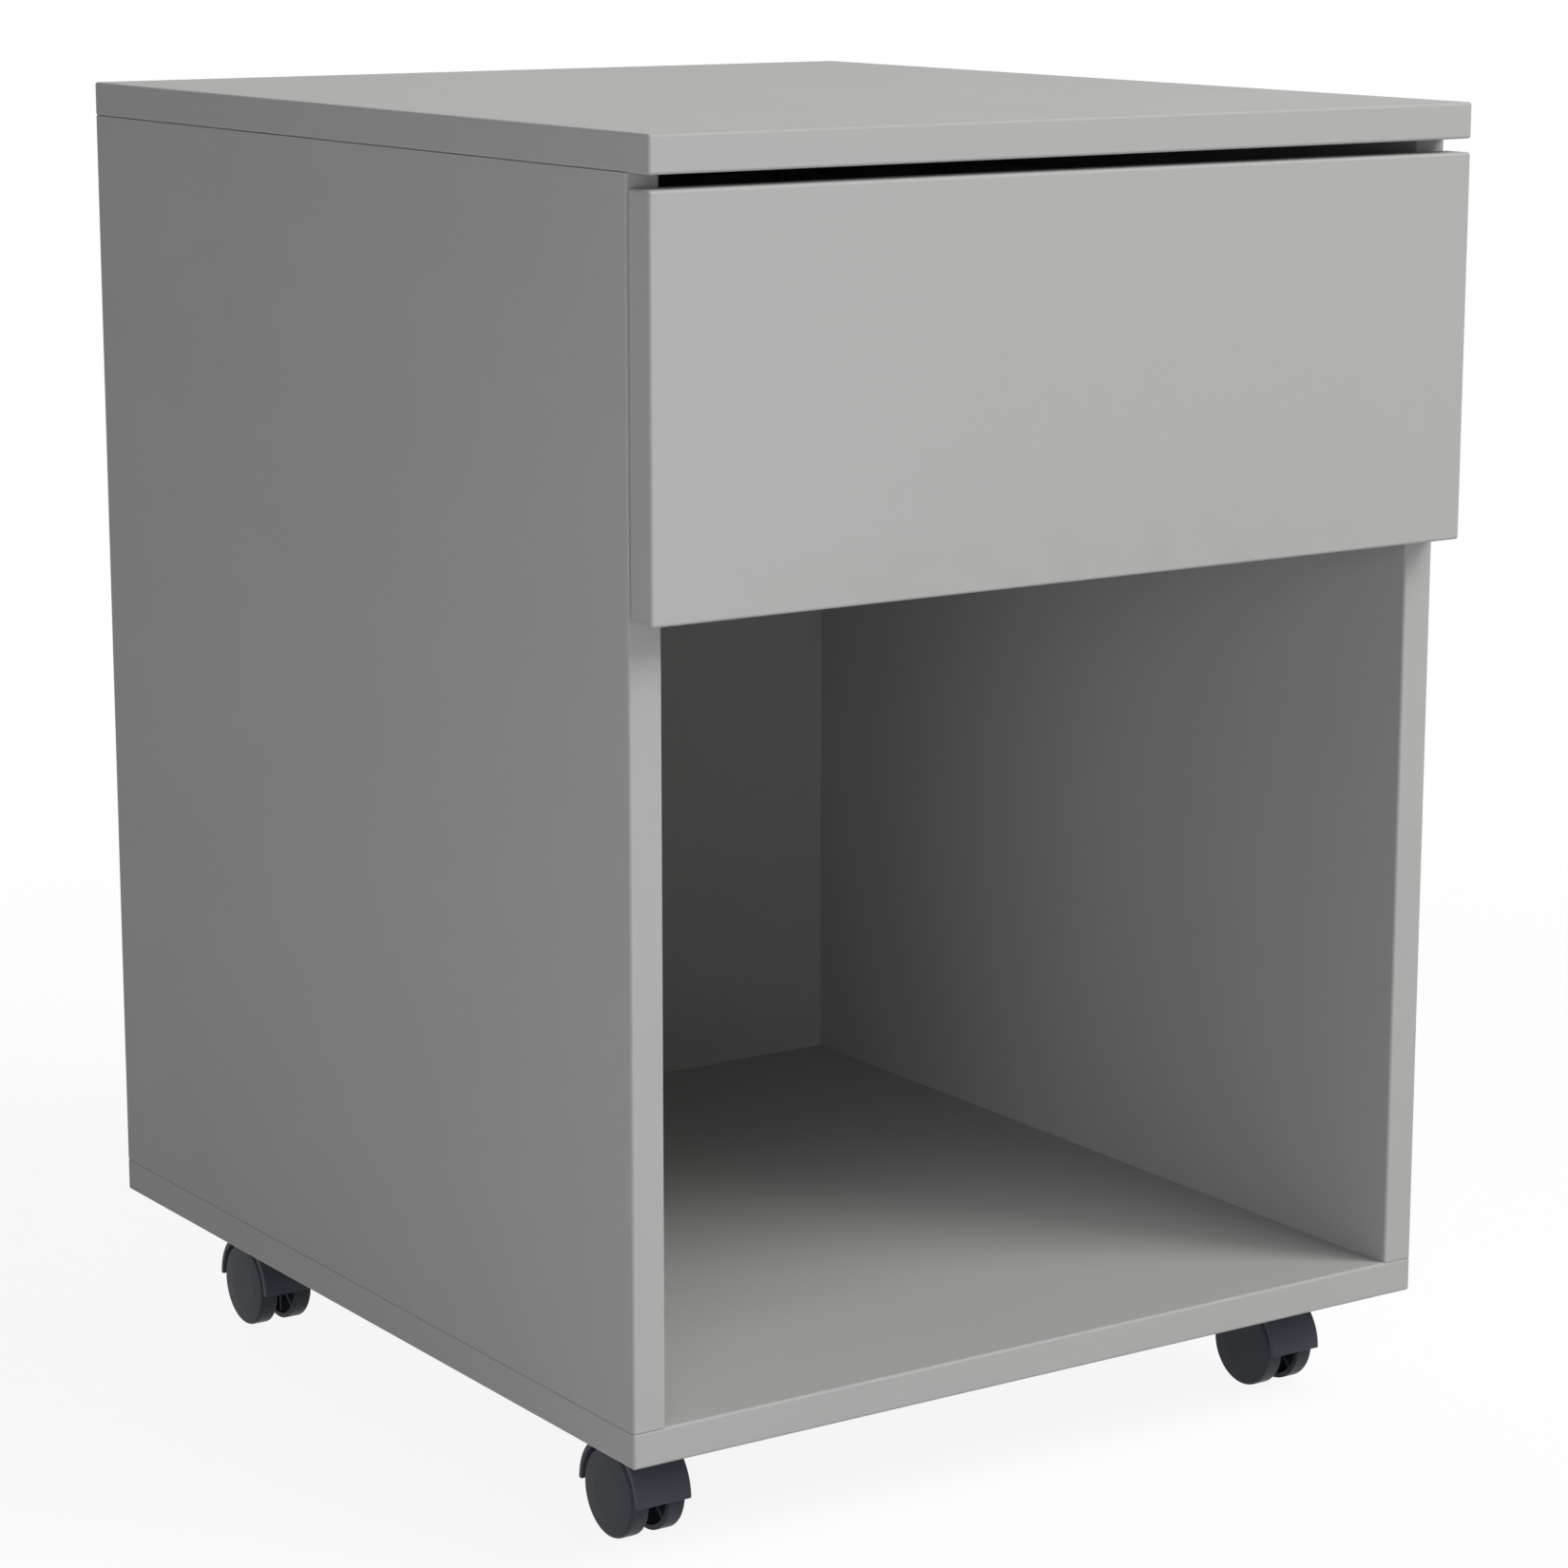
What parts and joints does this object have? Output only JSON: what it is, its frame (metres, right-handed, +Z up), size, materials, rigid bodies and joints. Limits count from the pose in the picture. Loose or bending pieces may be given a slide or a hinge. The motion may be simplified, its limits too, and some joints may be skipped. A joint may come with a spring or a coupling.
{
  "type": "mobile pedestal",
  "caption": "Free-standing grey board pedestal on swivel casters, with a handleless drawer on roller runners above an open compartment for standing folders.",
  "frame": {"origin": "on the floor, under the middle of the top panel", "axes": "+Z up, +X to the right of a person who faces the drawer, -Y towards that person"},
  "size_m": [0.43, 0.5, 0.608],
  "materials": {
    "grey_melamine_board": "matte",
    "grey_edge_band": "matte",
    "grey_fibreboard": "matte",
    "drawer_board": "matte",
    "beech_dowel": "matte",
    "coated_runner_steel": "satin",
    "roller_nylon": "satin",
    "caster_wheel_plastic": "satin",
    "caster_hood_plastic": "satin",
    "zinc_casting": "satin",
    "zinc_plated_steel": "satin"
  },
  "bodies": {
    "carcass": {"back_panel": "grey_fibreboard", "bottom_edge_bands": "grey_edge_band", "bottom_panel": "grey_melamine_board", "bottom_screws": "zinc_plated_steel", "cabinet_roller_pins": "zinc_plated_steel", "cabinet_runner_screws": "zinc_plated_steel", "carcass_cam_bolts": "zinc_plated_steel", "carcass_cam_locks": "zinc_casting", "carcass_dowels": "beech_dowel", "caster_king_pins": "zinc_plated_steel", "caster_plate_screws": "zinc_plated_steel", "caster_plates": "zinc_plated_steel", "caster_washers": "zinc_plated_steel", "left_cabinet_runner": "coated_runner_steel", "left_side_panel": "grey_melamine_board", "right_cabinet_runner": "coated_runner_steel", "right_side_panel": "grey_melamine_board", "shelf": "grey_melamine_board", "shelf_edge_band": "grey_edge_band", "side_edge_bands": "grey_edge_band", "top_edge_bands": "grey_edge_band", "top_panel": "grey_melamine_board"},
    "drawer": {"drawer_back": "drawer_board", "drawer_back_screws": "zinc_plated_steel", "drawer_bottom": "grey_fibreboard", "drawer_cam_bolts": "zinc_plated_steel", "drawer_cam_locks": "zinc_casting", "drawer_front": "grey_melamine_board", "drawer_front_edge_bands": "grey_edge_band", "drawer_roller_pins": "zinc_plated_steel", "drawer_runner_screws": "zinc_plated_steel", "left_drawer_runner": "coated_runner_steel", "left_drawer_side": "drawer_board", "right_drawer_runner": "coated_runner_steel", "right_drawer_side": "drawer_board"},
    "front_left_caster": {"front_left_caster_axle": "zinc_plated_steel", "front_left_caster_clip": "zinc_plated_steel", "front_left_caster_hood": "caster_hood_plastic"},
    "front_left_caster_left_wheel": {"front_left_caster_left_wheel": "caster_wheel_plastic"},
    "front_left_caster_right_wheel": {"front_left_caster_right_wheel": "caster_wheel_plastic"},
    "front_right_caster": {"front_right_caster_axle": "zinc_plated_steel", "front_right_caster_clip": "zinc_plated_steel", "front_right_caster_hood": "caster_hood_plastic"},
    "front_right_caster_left_wheel": {"front_right_caster_left_wheel": "caster_wheel_plastic"},
    "front_right_caster_right_wheel": {"front_right_caster_right_wheel": "caster_wheel_plastic"},
    "left_cabinet_roller": {"left_cabinet_roller": "roller_nylon"},
    "left_drawer_roller": {"left_drawer_roller": "roller_nylon"},
    "rear_left_caster": {"rear_left_caster_axle": "zinc_plated_steel", "rear_left_caster_clip": "zinc_plated_steel", "rear_left_caster_hood": "caster_hood_plastic"},
    "rear_left_caster_left_wheel": {"rear_left_caster_left_wheel": "caster_wheel_plastic"},
    "rear_left_caster_right_wheel": {"rear_left_caster_right_wheel": "caster_wheel_plastic"},
    "rear_right_caster": {"rear_right_caster_axle": "zinc_plated_steel", "rear_right_caster_clip": "zinc_plated_steel", "rear_right_caster_hood": "caster_hood_plastic"},
    "rear_right_caster_left_wheel": {"rear_right_caster_left_wheel": "caster_wheel_plastic"},
    "rear_right_caster_right_wheel": {"rear_right_caster_right_wheel": "caster_wheel_plastic"},
    "right_cabinet_roller": {"right_cabinet_roller": "roller_nylon"},
    "right_drawer_roller": {"right_drawer_roller": "roller_nylon"}
  },
  "joints": [
    {"name": "drawer_slide", "type": "slide", "parent": "carcass", "child": "drawer", "axis": [0, -1, 0], "range_m": [0, 0.34]},
    {"name": "left_cabinet_roller_spin", "type": "hinge", "parent": "carcass", "child": "left_cabinet_roller", "pos_m": [-0.1942, -0.2185, 0.4662], "axis": [1, 0, 0], "continuous": true},
    {"name": "right_cabinet_roller_spin", "type": "hinge", "parent": "carcass", "child": "right_cabinet_roller", "pos_m": [0.1942, -0.2185, 0.4662], "axis": [1, 0, 0], "continuous": true},
    {"name": "left_drawer_roller_spin", "type": "hinge", "parent": "drawer", "child": "left_drawer_roller", "pos_m": [-0.1913, 0.204, 0.4645], "axis": [1, 0, 0], "continuous": true},
    {"name": "right_drawer_roller_spin", "type": "hinge", "parent": "drawer", "child": "right_drawer_roller", "pos_m": [0.1913, 0.204, 0.4645], "axis": [1, 0, 0], "continuous": true},
    {"name": "front_left_caster_swivel", "type": "hinge", "parent": "carcass", "child": "front_left_caster", "pos_m": [-0.1772, -0.16345, 0.05], "axis": [0, 0, 1], "continuous": true},
    {"name": "front_left_caster_left_wheel_spin", "type": "hinge", "parent": "front_left_caster", "child": "front_left_caster_left_wheel", "pos_m": [-0.1772, -0.17245, 0.02], "axis": [1, 0, 0], "continuous": true},
    {"name": "front_left_caster_right_wheel_spin", "type": "hinge", "parent": "front_left_caster", "child": "front_left_caster_right_wheel", "pos_m": [-0.1772, -0.17245, 0.02], "axis": [1, 0, 0], "continuous": true},
    {"name": "front_right_caster_swivel", "type": "hinge", "parent": "carcass", "child": "front_right_caster", "pos_m": [0.1772, -0.16345, 0.05], "axis": [0, 0, 1], "continuous": true},
    {"name": "front_right_caster_left_wheel_spin", "type": "hinge", "parent": "front_right_caster", "child": "front_right_caster_left_wheel", "pos_m": [0.1772, -0.17245, 0.02], "axis": [1, 0, 0], "continuous": true},
    {"name": "front_right_caster_right_wheel_spin", "type": "hinge", "parent": "front_right_caster", "child": "front_right_caster_right_wheel", "pos_m": [0.1772, -0.17245, 0.02], "axis": [1, 0, 0], "continuous": true},
    {"name": "rear_left_caster_swivel", "type": "hinge", "parent": "carcass", "child": "rear_left_caster", "pos_m": [-0.1772, 0.18095, 0.05], "axis": [0, 0, 1], "continuous": true},
    {"name": "rear_left_caster_left_wheel_spin", "type": "hinge", "parent": "rear_left_caster", "child": "rear_left_caster_left_wheel", "pos_m": [-0.1772, 0.17195, 0.02], "axis": [1, 0, 0], "continuous": true},
    {"name": "rear_left_caster_right_wheel_spin", "type": "hinge", "parent": "rear_left_caster", "child": "rear_left_caster_right_wheel", "pos_m": [-0.1772, 0.17195, 0.02], "axis": [1, 0, 0], "continuous": true},
    {"name": "rear_right_caster_swivel", "type": "hinge", "parent": "carcass", "child": "rear_right_caster", "pos_m": [0.1772, 0.18095, 0.05], "axis": [0, 0, 1], "continuous": true},
    {"name": "rear_right_caster_left_wheel_spin", "type": "hinge", "parent": "rear_right_caster", "child": "rear_right_caster_left_wheel", "pos_m": [0.1772, 0.17195, 0.02], "axis": [1, 0, 0], "continuous": true},
    {"name": "rear_right_caster_right_wheel_spin", "type": "hinge", "parent": "rear_right_caster", "child": "rear_right_caster_right_wheel", "pos_m": [0.1772, 0.17195, 0.02], "axis": [1, 0, 0], "continuous": true}
  ],
  "couplings": [
    {"joint": "left_cabinet_roller_spin", "follows": "drawer_slide", "rad_per_m": 111.11},
    {"joint": "right_cabinet_roller_spin", "follows": "drawer_slide", "rad_per_m": 111.11},
    {"joint": "left_drawer_roller_spin", "follows": "drawer_slide", "rad_per_m": 111.11},
    {"joint": "right_drawer_roller_spin", "follows": "drawer_slide", "rad_per_m": 111.11}
  ]
}
